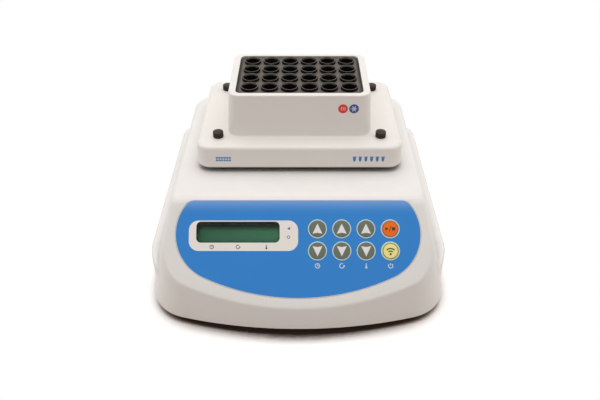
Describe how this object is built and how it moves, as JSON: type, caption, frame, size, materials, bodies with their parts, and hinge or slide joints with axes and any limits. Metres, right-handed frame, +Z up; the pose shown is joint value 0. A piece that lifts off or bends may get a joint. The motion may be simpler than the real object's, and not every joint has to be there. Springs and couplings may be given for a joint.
{
  "type": "bench thermo-shaker",
  "caption": "Bench shaker with a heated tube block: moulded casing, sloping panel with display and keys, orbiting platform, lift-off block held by screws, vented base tray.",
  "frame": {"origin": "on the ground, in the middle of the object's length and width", "axes": "+X to the right of someone who faces the panel, +Y to the rear, +Z up"},
  "size_m": [0.24, 0.2488, 0.1519],
  "materials": {
    "casing_white": "fine satin grain",
    "tray_grey": "powder coated",
    "foot_rubber": "matte",
    "screw_steel": "zinc plated",
    "label_blue": "printed film, satin",
    "window_clear": "clear",
    "display_green": "dark liquid crystal",
    "frame_black": "black",
    "board_green": "solder mask",
    "component_black": "moulded",
    "standoff_brass": "turned",
    "key_grey": "printed, satin",
    "key_orange": "printed, satin",
    "key_yellow": "printed, satin",
    "rim_pale": "printed",
    "switch_black": "satin",
    "contact_metal": "nickel plated",
    "fan_black": "satin",
    "chassis_metal": "milled",
    "motor_steel": "zinc plated",
    "crank_steel": "turned",
    "weight_brass": "turned",
    "bearing_steel": "ground",
    "ceramic_white": "ceramic",
    "foam_grey": "closed-cell foam",
    "housing_white": "fine satin grain",
    "lip_grey": "satin",
    "block_black": "black anodised, matte",
    "screw_black": "black oxide"
  },
  "bodies": {
    "base": {"top_cover": "casing_white", "bottom_plate": "tray_grey", "rubber_feet": "foot_rubber", "case_screws": "screw_steel", "control_overlay": "label_blue", "display_window": "window_clear", "display_frame": "frame_black", "display_glass": "display_green", "display_board": "board_green", "control_board": "board_green", "key_switches": "component_black", "panel_screws": "screw_steel", "key_rims": "rim_pale", "switch_housing": "switch_black", "dc_inlet": "switch_black", "dc_inlet_pin": "contact_metal", "main_board": "board_green", "board_standoffs": "standoff_brass", "board_components": "component_black", "fan_frame": "fan_black", "fan_screws": "screw_steel", "chassis_plate": "chassis_metal", "chassis_posts": "chassis_metal", "motor_body": "motor_steel", "motor_screws": "screw_steel", "lower_bearings": "bearing_steel"},
    "drive": {"drive_crank": "crank_steel", "counterweight": "weight_brass"},
    "platform": {"platform_frame": "chassis_metal", "upper_bearings": "bearing_steel", "heat_sink": "chassis_metal", "peltier_modules": "ceramic_white", "insulation_pad": "foam_grey", "temperature_sensor": "screw_steel", "platform_posts": "chassis_metal", "platform_plate": "chassis_metal"},
    "block": {"block_base_plate": "lip_grey", "block_housing": "housing_white", "tube_block": "block_black", "clamp_screws": "screw_black"},
    "idler_1": {"idler_crank_1": "crank_steel"},
    "idler_2": {"idler_crank_2": "crank_steel"},
    "idler_3": {"idler_crank_3": "crank_steel"},
    "idler_4": {"idler_crank_4": "crank_steel"},
    "key_time_up": {"key_time_up": "key_grey"},
    "key_speed_up": {"key_speed_up": "key_grey"},
    "key_heat_up": {"key_heat_up": "key_grey"},
    "key_start_stop": {"key_start_stop": "key_orange"},
    "key_time_down": {"key_time_down": "key_grey"},
    "key_speed_down": {"key_speed_down": "key_grey"},
    "key_heat_down": {"key_heat_down": "key_grey"},
    "key_wireless": {"key_wireless": "key_yellow"},
    "rocker": {"switch_rocker": "switch_black"},
    "fan": {"fan_rotor": "fan_black"}
  },
  "joints": [
    {"name": "drive_spin", "type": "hinge", "parent": "base", "child": "drive", "pos_m": [0, 0.0284, 0.045], "axis": [0, 0, 1], "continuous": true},
    {"name": "platform_orbit", "type": "hinge", "parent": "drive", "child": "platform", "pos_m": [0.001, 0.0284, 0.0497], "axis": [0, 0, 1], "continuous": true},
    {"name": "block_lift", "type": "slide", "parent": "platform", "child": "block", "axis": [0, 0, 1], "range_m": [0, 0.06]},
    {"name": "idler_1_spin", "type": "hinge", "parent": "base", "child": "idler_1", "pos_m": [-0.078, -0.0096, 0.0412], "axis": [0, 0, 1], "continuous": true},
    {"name": "idler_2_spin", "type": "hinge", "parent": "base", "child": "idler_2", "pos_m": [0.078, -0.0096, 0.0412], "axis": [0, 0, 1], "continuous": true},
    {"name": "idler_3_spin", "type": "hinge", "parent": "base", "child": "idler_3", "pos_m": [-0.078, 0.0664, 0.0412], "axis": [0, 0, 1], "continuous": true},
    {"name": "idler_4_spin", "type": "hinge", "parent": "base", "child": "idler_4", "pos_m": [0.078, 0.0664, 0.0412], "axis": [0, 0, 1], "continuous": true},
    {"name": "key_time_up_press", "type": "slide", "parent": "base", "child": "key_time_up", "axis": [0, 0.7314, -0.682], "range_m": [0, 0.0004], "stiffness_N_per_m": 2000},
    {"name": "key_speed_up_press", "type": "slide", "parent": "base", "child": "key_speed_up", "axis": [0, 0.7314, -0.682], "range_m": [0, 0.0004], "stiffness_N_per_m": 2000},
    {"name": "key_heat_up_press", "type": "slide", "parent": "base", "child": "key_heat_up", "axis": [0, 0.7314, -0.682], "range_m": [0, 0.0004], "stiffness_N_per_m": 2000},
    {"name": "key_start_stop_press", "type": "slide", "parent": "base", "child": "key_start_stop", "axis": [0, 0.7314, -0.682], "range_m": [0, 0.0004], "stiffness_N_per_m": 2000},
    {"name": "key_time_down_press", "type": "slide", "parent": "base", "child": "key_time_down", "axis": [0, 0.7314, -0.682], "range_m": [0, 0.0004], "stiffness_N_per_m": 2000},
    {"name": "key_speed_down_press", "type": "slide", "parent": "base", "child": "key_speed_down", "axis": [0, 0.7314, -0.682], "range_m": [0, 0.0004], "stiffness_N_per_m": 2000},
    {"name": "key_heat_down_press", "type": "slide", "parent": "base", "child": "key_heat_down", "axis": [0, 0.7314, -0.682], "range_m": [0, 0.0004], "stiffness_N_per_m": 2000},
    {"name": "key_wireless_press", "type": "slide", "parent": "base", "child": "key_wireless", "axis": [0, 0.7314, -0.682], "range_m": [0, 0.0004], "stiffness_N_per_m": 2000},
    {"name": "rocker_tilt", "type": "hinge", "parent": "base", "child": "rocker", "pos_m": [0.03, 0.121, 0.027], "axis": [0, 0, 1], "range_deg": [0, 20]},
    {"name": "fan_spin", "type": "hinge", "parent": "base", "child": "fan", "pos_m": [-0.058, -0.06, 0.019], "axis": [0, 0, 1], "continuous": true}
  ],
  "couplings": [
    {"joint": "drive_spin", "follows": "platform_orbit", "ratio": -1},
    {"joint": "idler_1_spin", "follows": "platform_orbit", "ratio": -1},
    {"joint": "idler_2_spin", "follows": "platform_orbit", "ratio": -1},
    {"joint": "idler_3_spin", "follows": "platform_orbit", "ratio": -1},
    {"joint": "idler_4_spin", "follows": "platform_orbit", "ratio": -1}
  ]
}
